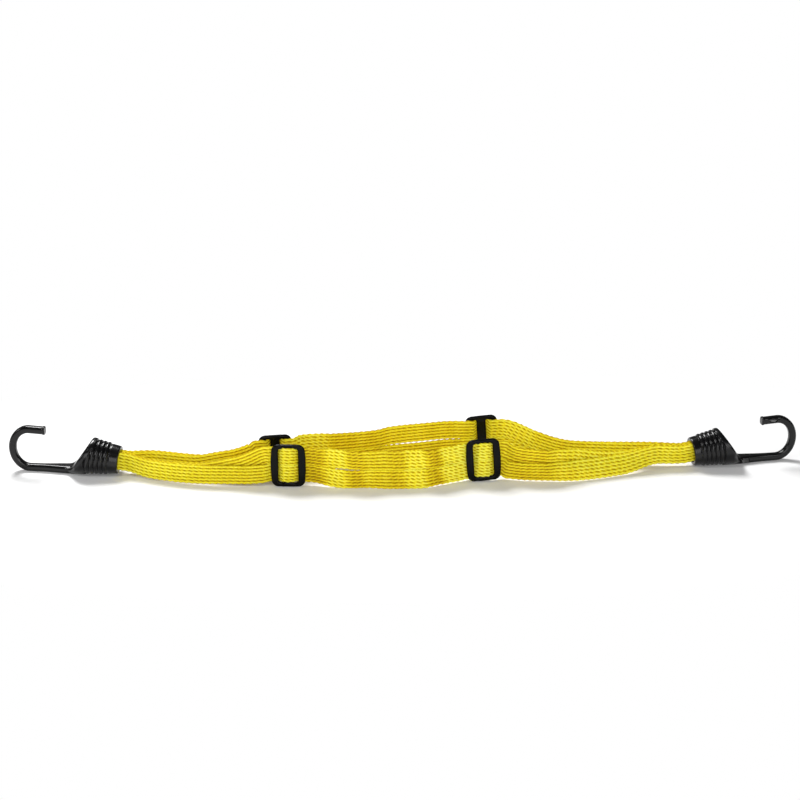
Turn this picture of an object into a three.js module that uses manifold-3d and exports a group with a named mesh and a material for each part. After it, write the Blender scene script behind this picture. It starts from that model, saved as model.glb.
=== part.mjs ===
// Flat bungee cord: two moulded hooks, four elastic straps and four strap slides.
// Millimetres. +Z is up, +X runs along the cord and the front of the cord faces -Y.
import * as THREE from 'three';
import { mergeVertices } from 'three/addons/utils/BufferGeometryUtils.js';
import Module from 'manifold-3d';

// Straps
const STRAP_WIDTH = 13.6;
const STRAP_THICKNESS = 1.7;
const LAYER_GAP = 0.35; // between straps stacked in a socket
const PAIR_GAP = 0.6; // between two straps side by side in a slide
const STRAP_TUCK = 18; // length of strap inside a socket
const STRAP_STEP = 7; // distance between cross sections on a free run

// Hook rod
const ROD_HEIGHT = 5.6;
const ROD_WIDTH = 6;
const ROD_CORNER = 2;
const CURL_GAP = 23.8; // between the shank and the tip
const CURL_DEPTH = 10; // from the curl's centre to the inside of the bend
const SHANK_LENGTH = 34; // socket foot to the centre of the curl
const TIP_LENGTH = 12; // straight arm past the curl
const TIP_SWELL = 0.25; // how far the end knob stands proud of the rod
const KNOB_LENGTH = 1.8;
const CURL_STEPS = 18;

// Hook socket
const SOCKET_LENGTH = 33.5; // mouth to foot, along the floor
const SOCKET_WALL = 2.6;
const MOUTH_EDGE = 0.6; // rounding at the mouth
const BORE_CLEARANCE = 0.35; // from the strap stack's corners to the bore
const BORE_FLARE = 4.2; // how much wider the bore's radius is at the back
const BORE_STOP = 2.5; // wall left in the foot behind the bore
const RIB_COUNT = 5;
const RIB_PITCH = 3.3;
const RIB_HEIGHT = 0.7;
const RIB_START = 5.8; // first valley, from the mouth
const COLLAR_WIDTH = 2.6; // plain rim along the slanted back
const COLLAR_PROUD = 0.15; // how far the rim stands over the ribs
const SLANT_ANGLE = THREE.MathUtils.degToRad(35); // the back's lean from upright
const CHEEK_START = 29.5; // where the cheeks begin to narrow, from the mouth
const CHEEK_REACH = 9; // how far the socket's cheeks run on along the shank
const CHEEK_STEPS = 5;
const CHEEK_SINK = 0.2; // the cheeks end inside the rod
const FOOT_FILLET = 7;
const SOCKET_SIDES = 28;

// Crimp ring
const RING_LENGTH = 5;
const RING_WALL = 1;
const RING_CLEARANCE = 0.3; // to the straps inside it
const RING_INSET = 2; // strap left showing past the ring

// Strap slide
const FRAME_THICKNESS = 2.8;
const SIDE_BAR = 4.5;
const END_BAR = 2.3;
const SIDE_BULGE = 0.7;
const FRAME_CORNER = 4.5;
const FRAME_BEVEL = 0.5;
const SLOT_WIDTH = 4.8;
const SLOT_CORNER = 1.2;
const SLOT_CLEARANCE = 0.4; // strap edge to end bar
const CENTRE_BAR_WIDTH = 5.2;
const CENTRE_BAR_THICKNESS = 2.4;
const BAR_CLEARANCE = 0.5; // strap face to the bars it passes
const SLIDE_REACH = 1.5; // straight strap past each side bar
const WEAVE_EASE = 18; // run in which a strap comes back to its line
const SLIDE_STEPS = 12; // cross sections on each half of a slide

// Lay of the cord
const MOUTH_SPAN = 435; // between the two socket mouths
const HOOK_YAW = THREE.MathUtils.degToRad(8); // each hook points away from the front
const STRAIGHT_EXIT = 9; // straps leave a socket square for this far

// Sizes that follow
const LAYER_PITCH = STRAP_THICKNESS + LAYER_GAP;
const STACK = 4 * STRAP_THICKNESS + 3 * LAYER_GAP;
const PAIR_PITCH = STRAP_WIDTH + PAIR_GAP;
const MOUTH_BORE = Math.hypot(STRAP_WIDTH / 2, STACK / 2) + BORE_CLEARANCE;
const SLOT_HEIGHT = 2 * STRAP_WIDTH + PAIR_GAP + 2 * SLOT_CLEARANCE;
const SLIDE_HEIGHT = SLOT_HEIGHT + 2 * END_BAR;
const WINDOW_LENGTH = CENTRE_BAR_WIDTH + 2 * SLOT_WIDTH;
const SLIDE_LENGTH = WINDOW_LENGTH + 2 * SIDE_BAR;
const SLIDE_HALF = SLIDE_LENGTH / 2 + SIDE_BULGE + SLIDE_REACH;
const WEAVE_CREST = (CENTRE_BAR_THICKNESS + STRAP_THICKNESS) / 2 + BAR_CLEARANCE;
const WEAVE_TROUGH = (FRAME_THICKNESS + STRAP_THICKNESS) / 2 + BAR_CLEARANCE;
const WEAVE_DROP_START = CENTRE_BAR_WIDTH / 6;
const WEAVE_DROP_END = WINDOW_LENGTH / 2 + STRAP_THICKNESS / 2;
const LAID_HEIGHT = STRAP_WIDTH + PAIR_GAP / 2; // seam of a pair that stands on the floor
const SLIDE_SEAM = SLIDE_HEIGHT / 2; // seam of a pair held in a slide

const wasm = await Module();
wasm.setup();

// A closed mesh as a solid that can be joined and cut.
function solid(geometry) {
  const bare = geometry.clone();
  bare.deleteAttribute('normal');
  bare.deleteAttribute('uv');
  const merged = mergeVertices(bare);
  const vertProperties = Float32Array.from(merged.attributes.position.array);
  const triVerts = Uint32Array.from(merged.index.array);
  return new wasm.Manifold(new wasm.Mesh({ numProp: 3, vertProperties, triVerts }));
}

// A joined or cut solid as geometry again.
function geometryOf(manifold) {
  const { vertProperties, triVerts } = manifold.getMesh();
  const geometry = new THREE.BufferGeometry();
  geometry.setAttribute('position', new THREE.BufferAttribute(vertProperties, 3));
  geometry.setIndex(new THREE.BufferAttribute(triVerts, 1));
  geometry.computeVertexNormals();
  return geometry;
}

// A closed skin over a row of rings that all have the same number of points.
function loft(rings) {
  const sides = rings[0].length;
  const last = (rings.length - 1) * sides;
  const index = [];
  for (let row = 0; row < last; row += sides) {
    for (let side = 0; side < sides; side += 1) {
      const next = (side + 1) % sides;
      index.push(row + side, row + next, row + sides + next);
      index.push(row + side, row + sides + next, row + sides + side);
    }
  }
  for (let side = 1; side < sides - 1; side += 1) {
    index.push(0, side + 1, side);
    index.push(last, last + side, last + side + 1);
  }
  const geometry = new THREE.BufferGeometry().setFromPoints(rings.flat());
  geometry.setIndex(index);
  geometry.computeVertexNormals();
  return geometry;
}

// A ring of a flat profile, set up at a centre on two axes.
function ring(profile, centre, across, up) {
  return profile.map(([a, b]) => centre.clone().addScaledVector(across, a).addScaledVector(up, b));
}

// Points round a rectangle with round corners.
function roundedProfile(width, height, radius, steps) {
  const points = [];
  for (let corner = 0; corner < 4; corner += 1) {
    const signX = corner === 0 || corner === 3 ? 1 : -1;
    const signY = corner < 2 ? 1 : -1;
    for (let step = 0; step <= steps; step += 1) {
      const angle = (corner + step / steps) * Math.PI / 2;
      const x = signX * (width / 2 - radius) + radius * Math.cos(angle);
      const y = signY * (height / 2 - radius) + radius * Math.sin(angle);
      points.push([x, y]);
    }
  }
  return points;
}

function circleProfile(radius, sides) {
  const turn = (2 * Math.PI) / sides;
  return Array.from({ length: sides }, (_, side) => {
    return [radius * Math.cos(side * turn), radius * Math.sin(side * turn)];
  });
}

// Socket sizes along its length: the bore, the skin and the height of its centre.
const boreRadius = (x) => MOUTH_BORE + (BORE_FLARE * x) / SOCKET_LENGTH;
const skinRadius = (x) => boreRadius(x) + SOCKET_WALL;
const axisHeight = (x) => RIB_HEIGHT + skinRadius(x);
const AXIS_CLIMB = BORE_FLARE / SOCKET_LENGTH;

// A ring across the socket: an ellipse at a height over the floor, leaning back at its top.
function socketRing(x, height, halfWidth, halfHeight, lean) {
  const across = new THREE.Vector3(0, halfWidth, 0);
  const up = new THREE.Vector3(-lean * halfHeight, 0, halfHeight);
  return ring(circleProfile(1, SOCKET_SIDES), new THREE.Vector3(x, 0, height), across, up);
}

// A round ring square to the socket's climbing axis.
function roundRing(x, radius) {
  return socketRing(x, axisHeight(x), radius, radius, AXIS_CLIMB);
}

// The socket's outside: a plain mouth, a ribbed cone, and cheeks that narrow to the rod.
function socketSkin() {
  const rings = [roundRing(0, skinRadius(0) - MOUTH_EDGE), roundRing(MOUTH_EDGE, skinRadius(0))];
  for (let rib = 0; rib < RIB_COUNT; rib += 1) {
    const valley = RIB_START + rib * RIB_PITCH;
    const crest = valley + RIB_PITCH / 2;
    rings.push(roundRing(valley, skinRadius(valley)));
    rings.push(roundRing(crest, skinRadius(crest) + RIB_HEIGHT));
  }
  const lastValley = RIB_START + RIB_COUNT * RIB_PITCH;
  const ribsEnd = lastValley + RIB_PITCH / 2;
  const cheekRadius = skinRadius(CHEEK_START) + RIB_HEIGHT;
  rings.push(roundRing(lastValley, skinRadius(lastValley)));
  rings.push(roundRing(ribsEnd, skinRadius(ribsEnd) + RIB_HEIGHT));
  for (let step = 0; step <= CHEEK_STEPS; step += 1) {
    const share = step / CHEEK_STEPS;
    const ease = THREE.MathUtils.smoothstep(share, 0, 1);
    const x = THREE.MathUtils.lerp(CHEEK_START, SOCKET_LENGTH + CHEEK_REACH, share);
    const halfWidth = THREE.MathUtils.lerp(cheekRadius, ROD_WIDTH / 2 - CHEEK_SINK, ease);
    const halfHeight = THREE.MathUtils.lerp(cheekRadius, ROD_HEIGHT / 2 - CHEEK_SINK, ease);
    const height = halfHeight + CHEEK_SINK * ease;
    rings.push(socketRing(x, height, halfWidth, halfHeight, AXIS_CLIMB * (1 - ease)));
  }
  return solid(loft(rings));
}

function plainCone(radiusAt, from, to) {
  return solid(loft([roundRing(from, radiusAt(from)), roundRing(to, radiusAt(to))]));
}

// The plain rim: a smooth cone kept only beside the slanted back.
function socketRim() {
  const proud = (x) => skinRadius(x) + RIB_HEIGHT + COLLAR_PROUD;
  const rimEnd = CHEEK_START + RIB_PITCH / 2;
  const size = 4 * SOCKET_LENGTH;
  const keep = new THREE.BoxGeometry(size, size, size);
  keep.translate(size / 2 - COLLAR_WIDTH, 0, 0);
  keep.rotateY(-SLANT_ANGLE);
  keep.translate(SOCKET_LENGTH, 0, ROD_HEIGHT);
  return plainCone(proud, RIB_START, rimEnd).intersect(solid(keep));
}

// What the slanted back leaves open: a long wedge with a rounded foot on the shank.
function scoop() {
  const lean = Math.tan(SLANT_ANGLE);
  const top = 3 * skinRadius(SOCKET_LENGTH);
  const floor = ROD_HEIGHT - ROD_CORNER / 3;
  const end = SOCKET_LENGTH + 2 * CHEEK_REACH;
  const shape = new THREE.Shape();
  shape.moveTo(SOCKET_LENGTH - lean * top, floor + top);
  shape.lineTo(SOCKET_LENGTH - lean * FOOT_FILLET, floor + FOOT_FILLET);
  shape.quadraticCurveTo(SOCKET_LENGTH, floor, SOCKET_LENGTH + FOOT_FILLET, floor);
  shape.lineTo(end, floor);
  shape.lineTo(end, floor + top);
  const wedge = new THREE.ExtrudeGeometry(shape, { depth: 2 * top, bevelEnabled: false, curveSegments: 6 });
  wedge.translate(0, 0, -top);
  wedge.rotateX(Math.PI / 2);
  return solid(wedge);
}

// The bent rod: shank, curl and tip, with a small knob on its end.
function hookRod() {
  const curlWide = CURL_DEPTH + ROD_HEIGHT / 2;
  const curlTall = (CURL_GAP + ROD_HEIGHT) / 2;
  const curlX = SOCKET_LENGTH + SHANK_LENGTH;
  const curlZ = ROD_HEIGHT / 2 + curlTall;
  const side = new THREE.Vector3(0, 1, 0);
  const rings = [];
  const addRing = (x, z, angle, scale) => {
    const profile = roundedProfile(ROD_WIDTH * scale, ROD_HEIGHT * scale, ROD_CORNER * scale, 3);
    const up = new THREE.Vector3(-Math.sin(angle), 0, Math.cos(angle));
    rings.push(ring(profile, new THREE.Vector3(x, 0, z), side, up));
  };
  addRing(SOCKET_LENGTH - BORE_STOP - SOCKET_WALL, ROD_HEIGHT / 2, 0, 1);
  for (let step = 0; step <= CURL_STEPS; step += 1) {
    const turn = (step / CURL_STEPS) * Math.PI;
    const angle = Math.atan2(curlTall * Math.sin(turn), curlWide * Math.cos(turn));
    addRing(curlX + curlWide * Math.sin(turn), curlZ - curlTall * Math.cos(turn), angle, 1);
  }
  const knob = 1 + (2 * TIP_SWELL) / ROD_HEIGHT;
  const knobRings = [[0, 1], [0.2, knob], [0.75, knob], [1, 0.8]];
  knobRings.forEach(([share, scale]) => {
    const x = curlX - TIP_LENGTH + (1 - share) * KNOB_LENGTH;
    addRing(x, curlZ + curlTall, Math.PI, scale);
  });
  return solid(loft(rings));
}

// A hook with its socket mouth at the origin, pointing along +X and resting on the floor.
function hookGeometry() {
  const bore = plainCone(boreRadius, -SOCKET_WALL, SOCKET_LENGTH - BORE_STOP);
  const socket = socketSkin().add(socketRim()).subtract(scoop());
  return geometryOf(socket.add(hookRod()).subtract(bore));
}

// The steel band that gathers four strap ends, standing across the socket's axis.
function crimpGeometry() {
  const hole = new THREE.Path();
  const shape = new THREE.Shape();
  const innerWidth = STACK + 2 * RING_CLEARANCE;
  const innerHeight = STRAP_WIDTH + 2 * RING_CLEARANCE;
  const outer = roundedProfile(innerWidth + 2 * RING_WALL, innerHeight + 2 * RING_WALL, 2 * RING_WALL, 4);
  const inner = roundedProfile(innerWidth, innerHeight, RING_WALL / 4, 1);
  shape.setFromPoints(outer.map(([x, y]) => new THREE.Vector2(x, y)));
  hole.setFromPoints(inner.map(([x, y]) => new THREE.Vector2(x, y)));
  shape.holes.push(hole);
  const band = new THREE.ExtrudeGeometry(shape, { depth: RING_LENGTH, bevelEnabled: false });
  band.rotateX(Math.PI / 2);
  band.rotateZ(Math.PI / 2);
  return band;
}

// The outline of a slide's frame or of its window, with sides that may bulge.
function frameOutline(path, length, height, corner, bulge) {
  const x = length / 2;
  const y = height / 2;
  path.moveTo(-x + corner, -y);
  path.lineTo(x - corner, -y);
  path.quadraticCurveTo(x, -y, x, -y + corner);
  path.quadraticCurveTo(x + 2 * bulge, 0, x, y - corner);
  path.quadraticCurveTo(x, y, x - corner, y);
  path.lineTo(-x + corner, y);
  path.quadraticCurveTo(-x, y, -x, y - corner);
  path.quadraticCurveTo(-x - 2 * bulge, 0, -x, -y + corner);
  path.quadraticCurveTo(-x, -y, -x + corner, -y);
  return path;
}

// A three-bar slide, standing on its end bar with its window across Y.
function slideGeometry() {
  const shape = frameOutline(new THREE.Shape(), SLIDE_LENGTH, SLIDE_HEIGHT, FRAME_CORNER, SIDE_BULGE);
  shape.holes.push(frameOutline(new THREE.Path(), WINDOW_LENGTH, SLOT_HEIGHT, SLOT_CORNER, 0));
  const frame = new THREE.ExtrudeGeometry(shape, {
    depth: FRAME_THICKNESS - 2 * FRAME_BEVEL,
    bevelThickness: FRAME_BEVEL,
    bevelSize: FRAME_BEVEL,
    bevelOffset: -FRAME_BEVEL,
    bevelSegments: 1,
    curveSegments: 4,
  });
  frame.translate(0, 0, FRAME_BEVEL - FRAME_THICKNESS / 2);
  frame.rotateX(Math.PI / 2);
  const section = roundedProfile(CENTRE_BAR_WIDTH, CENTRE_BAR_THICKNESS, CENTRE_BAR_THICKNESS * 0.48, 3);
  const along = new THREE.Vector3(1, 0, 0);
  const through = new THREE.Vector3(0, 1, 0);
  const barEnd = (SLOT_HEIGHT + END_BAR) / 2;
  const ends = [-barEnd, barEnd].map((z) => ring(section, new THREE.Vector3(0, 0, z), along, through));
  return geometryOf(solid(frame).add(solid(loft(ends))));
}

// Where the hooks stand: the socket mouths and the way each socket points.
const HOOKS = [
  { name: 'left', x: -MOUTH_SPAN / 2, heading: Math.PI - HOOK_YAW },
  { name: 'right', x: MOUTH_SPAN / 2, heading: HOOK_YAW },
];

// The way a pair lies, in plan: from a socket to a slide, between the slides, and on to the other socket.
// parted is how far its two straps have come apart, sag how low they hang, and gape the gap between them.
const PAIRS = [
  {
    name: 'front',
    outward: -1,
    slides: [
      { name: 'left', x: -88.5, y: -30, yaw: -4 },
      { name: 'right', x: 57, y: -25, yaw: 4 },
    ],
    runs: [
      [
        { x: -190, y: -13, parted: 0.03, sag: 3.2 },
        { x: -160, y: -24, parted: 0.08, sag: 3 },
        { x: -128, y: -27.5, parted: 0.45, sag: 2.6 },
        { x: -107, y: -29, parted: 1, sag: 2.4 },
      ],
      [{ x: -45, y: -34.5, gape: 1.3 }, { x: 8, y: -37.5, gape: 0.3 }],
      [
        { x: 76, y: -24.5, parted: 1, sag: 2.4 },
        { x: 122, y: -30, parted: 0.6, sag: 3 },
        { x: 162, y: -19.5, parted: 0.15, sag: 2.8 },
        { x: 190, y: -8, parted: 0.03, sag: 0.5 },
      ],
    ],
  },
  {
    name: 'back',
    outward: 1,
    slides: [
      { name: 'left', x: -98.5, y: -9.5, yaw: 7 },
      { name: 'right', x: 59.5, y: 25, yaw: 6 },
    ],
    runs: [
      [
        { x: -190, y: -1, parted: 0.02, sag: 0.5 },
        { x: -160, y: -9, parted: 0.03, sag: 1 },
        { x: -134, y: -12, parted: 0.3, sag: 1.5 },
        { x: -117, y: -12, parted: 1, sag: 2.4 },
      ],
      [{ x: -40, y: 7, gape: 0 }, { x: 4, y: 19.5, gape: 0.6 }],
      [
        { x: 79, y: 25.5, parted: 1, sag: 2.4 },
        { x: 100, y: 17, parted: 0.4, sag: 1 },
        { x: 130, y: 8, parted: 0.1, sag: 1.5 },
        { x: 188, y: 2, parted: 0.03, sag: 0.5 },
      ],
    ],
  },
];

// Plan directions: along a heading and square to it.
const heading = (angle) => new THREE.Vector3(Math.cos(angle), Math.sin(angle), 0);
const leftOf = (direction) => new THREE.Vector3(-direction.y, direction.x, 0).normalize();

// A point on a socket's axis, a given depth inside its mouth.
function socketPoint(hook, depth) {
  return new THREE.Vector3(hook.x, 0, axisHeight(depth)).addScaledVector(heading(hook.heading), depth);
}

// The stations of one pair inside a socket, from its back out to the free strap.
function socketStations(hook, pair) {
  const shift = leftOf(heading(hook.heading)).multiplyScalar(pair.outward * LAYER_PITCH);
  if (hook.x > 0) {
    shift.negate();
  }
  return [STRAP_TUCK, 0, -STRAIGHT_EXIT].map((depth) => {
    const point = socketPoint(hook, depth).sub(shift);
    return { point, parted: 0, staggered: 1, gape: 0, steps: 3 };
  });
}

// The stations of one pair through a slide: straight from edge to edge.
function slideStations(slide) {
  const along = heading(THREE.MathUtils.degToRad(slide.yaw));
  const centre = new THREE.Vector3(slide.x, slide.y, SLIDE_SEAM);
  return [-SLIDE_HALF, 0, SLIDE_HALF].map((offset) => {
    const point = centre.clone().addScaledVector(along, offset);
    return { point, parted: 1, staggered: 0, gape: 0, steps: SLIDE_STEPS };
  });
}

// The stations of a free run: hung from a socket, or laid on the floor between the slides.
function freeStations(run, laid) {
  return run.map(({ x, y, parted = 1, sag = 0, gape = 0 }) => {
    const seam = laid ? LAID_HEIGHT + gape / 2 : axisHeight(0) - sag + (parted * PAIR_PITCH) / 2;
    return { point: new THREE.Vector3(x, y, seam), parted, staggered: laid ? 0 : 1, gape, steps: 0 };
  });
}

function pairStations(pair) {
  const [left, right] = HOOKS;
  return [
    ...socketStations(left, pair),
    ...freeStations(pair.runs[0], false),
    ...slideStations(pair.slides[0]),
    ...freeStations(pair.runs[1], true),
    ...slideStations(pair.slides[1]),
    ...freeStations(pair.runs[2], false),
    ...socketStations(right, pair).reverse(),
  ];
}

// How far a strap stands off its line beside a slide: over the middle bar and under the side bars.
function weave(distance) {
  const reach = Math.abs(distance);
  const drop = THREE.MathUtils.smoothstep(reach, WEAVE_DROP_START, WEAVE_DROP_END);
  const ease = THREE.MathUtils.smoothstep(reach, SLIDE_HALF, SLIDE_HALF + WEAVE_EASE);
  return WEAVE_CREST * (1 - drop) - WEAVE_TROUGH * drop * (1 - ease);
}

// A smooth value between stations that never passes beyond the two beside it.
function between(values, lengths, span, share) {
  const rise = (i) => (values[i + 1] - values[i]) / lengths[i];
  const slope = (i) => {
    const before = rise(Math.max(i - 1, 0));
    const after = rise(Math.min(i, lengths.length - 1));
    return before * after > 0 ? (2 * before * after) / (before + after) : 0;
  };
  const rest = 1 - share;
  const ends = values[span] * (1 + 2 * share) * rest ** 2 + values[span + 1] * (1 + 2 * rest) * share ** 2;
  const leaving = slope(span) * share * rest ** 2;
  const arriving = slope(span + 1) * rest * share ** 2;
  return ends + lengths[span] * (leaving - arriving);
}

// The centre line of one strap. level is -1 for the lower strap of a pair and 1 for the upper.
function strapLine(pair, level) {
  const stations = pairStations(pair);
  const curve = new THREE.CatmullRomCurve3(stations.map((station) => station.point), false, 'centripetal');
  const spans = stations.length - 1;
  const lengths = stations.slice(1).map(({ point }, i) => point.distanceTo(stations[i].point));
  const heights = stations.map(({ point, parted, gape }) => {
    return point.z + (level * (parted * PAIR_PITCH + gape)) / 2;
  });
  const layers = stations.map(({ staggered }) => (-level * pair.outward * staggered * LAYER_PITCH) / 2);
  const line = [];
  for (let span = 0; span < spans; span += 1) {
    const few = Math.min(stations[span].steps, stations[span + 1].steps);
    const steps = few || Math.ceil(lengths[span] / STRAP_STEP);
    for (let step = span === 0 ? 0 : 1; step <= steps; step += 1) {
      const share = step / steps;
      const at = (span + share) / spans;
      const point = curve.getPoint(at);
      const aside = leftOf(curve.getTangent(at));
      point.addScaledVector(aside, between(layers, lengths, span, share));
      point.z = between(heights, lengths, span, share);
      line.push(standOff(pair, point));
    }
  }
  return line;
}

// Moves a point of a strap off its line where it passes through a slide.
function standOff(pair, point) {
  pair.slides.forEach((slide) => {
    const along = heading(THREE.MathUtils.degToRad(slide.yaw));
    const distance = (point.x - slide.x) * along.x + (point.y - slide.y) * along.y;
    if (Math.abs(distance) < SLIDE_HALF + WEAVE_EASE) {
      point.addScaledVector(leftOf(along), pair.outward * weave(distance));
    }
  });
  return point;
}

// A strap: a flat section carried along its centre line with its width upright.
function strapGeometry(pair, level) {
  const line = strapLine(pair, level);
  const upright = new THREE.Vector3(0, 0, 1);
  const profile = [[1, 1], [-1, 1], [-1, -1], [1, -1]].map(([face, edge]) => {
    return [(face * STRAP_THICKNESS) / 2, (edge * STRAP_WIDTH) / 2];
  });
  const rings = line.map((point, i) => {
    const before = line[Math.max(i - 1, 0)];
    const after = line[Math.min(i + 1, line.length - 1)];
    const tangent = after.clone().sub(before).normalize();
    const face = new THREE.Vector3().crossVectors(upright, tangent).normalize();
    const edge = new THREE.Vector3().crossVectors(tangent, face);
    return ring(profile, point, face, edge);
  });
  return loft(rings);
}

// Materials
const blackPlastic = { color: 0x1c1c1d, roughness: 0.42, metalness: 0 };
const yellowElastic = { color: 0xf0c000, roughness: 0.85, metalness: 0 };
const platedSteel = { color: 0x9fa1a3, roughness: 0.35, metalness: 1 };

const cord = new THREE.Group();

function addMesh(name, geometry, finish) {
  const mesh = new THREE.Mesh(geometry, new THREE.MeshStandardMaterial(finish));
  mesh.name = name;
  cord.add(mesh);
  return mesh;
}

HOOKS.forEach((hook) => {
  const mesh = addMesh(`${hook.name}_hook`, hookGeometry(), blackPlastic);
  mesh.position.set(hook.x, 0, 0);
  mesh.rotation.z = hook.heading;
});

HOOKS.forEach((hook) => {
  const depth = STRAP_TUCK - RING_INSET - RING_LENGTH;
  const band = addMesh(`${hook.name}_crimp_ring`, crimpGeometry(), platedSteel);
  band.position.copy(socketPoint(hook, depth));
  band.rotation.set(0, -Math.atan(AXIS_CLIMB), hook.heading, 'ZYX');
});

PAIRS.forEach((pair) => {
  addMesh(`${pair.name}_upper_strap`, strapGeometry(pair, 1), yellowElastic);
  addMesh(`${pair.name}_lower_strap`, strapGeometry(pair, -1), yellowElastic);
  pair.slides.forEach((slide) => {
    const mesh = addMesh(`${pair.name}_${slide.name}_slide`, slideGeometry(), blackPlastic);
    mesh.position.set(slide.x, slide.y, SLIDE_SEAM);
    mesh.rotation.z = THREE.MathUtils.degToRad(slide.yaw);
  });
});

// The origin is the middle of the cord's footprint, on the floor.
const extent = new THREE.Box3().setFromObject(cord, true);
const middle = extent.getCenter(new THREE.Vector3());
cord.position.set(-middle.x, -middle.y, -extent.min.z);

export default cord;
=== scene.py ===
"""The looks of a flat bungee cord: ribbed elastic straps, slides and moulded hooks on a white floor."""

import math

import bpy
import numpy as np
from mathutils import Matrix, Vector


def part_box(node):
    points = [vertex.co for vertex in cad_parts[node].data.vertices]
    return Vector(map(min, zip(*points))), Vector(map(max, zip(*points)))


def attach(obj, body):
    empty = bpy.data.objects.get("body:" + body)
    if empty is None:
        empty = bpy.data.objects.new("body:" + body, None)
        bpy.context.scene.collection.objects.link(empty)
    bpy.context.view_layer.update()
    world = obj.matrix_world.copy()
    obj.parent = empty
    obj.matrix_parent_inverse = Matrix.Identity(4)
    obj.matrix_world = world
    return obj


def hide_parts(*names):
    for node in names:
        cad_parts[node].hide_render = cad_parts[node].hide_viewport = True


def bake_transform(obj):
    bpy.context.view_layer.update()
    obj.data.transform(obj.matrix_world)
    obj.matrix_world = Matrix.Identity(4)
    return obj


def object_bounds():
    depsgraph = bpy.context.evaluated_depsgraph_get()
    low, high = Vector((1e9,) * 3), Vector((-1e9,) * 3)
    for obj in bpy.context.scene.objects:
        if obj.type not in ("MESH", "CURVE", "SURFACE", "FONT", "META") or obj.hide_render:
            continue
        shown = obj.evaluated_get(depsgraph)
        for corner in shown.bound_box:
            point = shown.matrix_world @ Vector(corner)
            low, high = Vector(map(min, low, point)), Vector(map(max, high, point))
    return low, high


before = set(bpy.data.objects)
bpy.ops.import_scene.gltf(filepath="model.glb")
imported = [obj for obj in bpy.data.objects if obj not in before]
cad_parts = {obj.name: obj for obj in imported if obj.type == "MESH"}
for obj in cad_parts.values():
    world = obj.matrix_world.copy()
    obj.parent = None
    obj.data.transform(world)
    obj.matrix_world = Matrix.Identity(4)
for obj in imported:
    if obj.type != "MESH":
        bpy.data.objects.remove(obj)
cad_low, cad_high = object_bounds()

MM = 0.001  # metres in a millimetre

# Sizes in millimetres, the same as the solids have
STRAP_WIDTH = 13.6
STRAP_THICKNESS = 1.7
LAYER_GAP = 0.35  # between straps stacked in a socket
PAIR_GAP = 0.6  # between two straps side by side in a slide
LAYER_PITCH = STRAP_THICKNESS + LAYER_GAP
PAIR_PITCH = STRAP_WIDTH + PAIR_GAP
STACK = 4 * STRAP_THICKNESS + 3 * LAYER_GAP
STRAP_TUCK = 18  # length of strap inside a socket
STRAIGHT_EXIT = 9  # straps leave a socket square for this far
MOUTH_SPAN = 435  # between the two socket mouths
HOOK_YAW = math.radians(8)

ROD_HEIGHT = 5.6
ROD_WIDTH = 6
ROD_CORNER = 2
CURL_GAP = 23.8
CURL_DEPTH = 10
SHANK_LENGTH = 34
TIP_LENGTH = 12
TIP_SWELL = 0.25
KNOB_LENGTH = 1.8

SOCKET_LENGTH = 33.5
SOCKET_WALL = 2.6
BORE_FLARE = 4.2
BORE_STOP = 2.5
RIB_COUNT = 5
RIB_PITCH = 3.3
RIB_HEIGHT = 0.7
RIB_START = 5.8
SLANT_ANGLE = math.radians(35)
CHEEK_START = 29.5
CHEEK_REACH = 9
BORE_CLEARANCE = 0.35
MOUTH_BORE = math.hypot(STRAP_WIDTH, STACK) / 2 + BORE_CLEARANCE

FRAME_THICKNESS = 2.8
SIDE_BAR = 4.5
END_BAR = 2.3
SIDE_BULGE = 0.7
FRAME_CORNER = 4.5
SLOT_WIDTH = 4.8
SLOT_CLEARANCE = 0.4  # strap edge to end bar
SLOT_HEIGHT = 2 * STRAP_WIDTH + PAIR_GAP + 2 * SLOT_CLEARANCE
CENTRE_BAR_WIDTH = 5.2
CENTRE_BAR_THICKNESS = 2.4
WINDOW_LENGTH = CENTRE_BAR_WIDTH + 2 * SLOT_WIDTH
SLIDE_LENGTH = WINDOW_LENGTH + 2 * SIDE_BAR
SLIDE_HEIGHT = SLOT_HEIGHT + 2 * END_BAR
SLIDE_REACH = 1.5  # straight strap past each side bar
SLIDE_HALF = SLIDE_LENGTH / 2 + SIDE_BULGE + SLIDE_REACH
BAR_CLEARANCE = 0.5  # strap face to the bars it passes
WEAVE_CREST = (CENTRE_BAR_THICKNESS + STRAP_THICKNESS) / 2 + BAR_CLEARANCE
WEAVE_TROUGH = (FRAME_THICKNESS + STRAP_THICKNESS) / 2 + BAR_CLEARANCE
WEAVE_EASE = 18  # run in which a strap comes back to its line
LAID_HEIGHT = STRAP_WIDTH + PAIR_GAP / 2  # seam of a pair that stands on the floor

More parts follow.
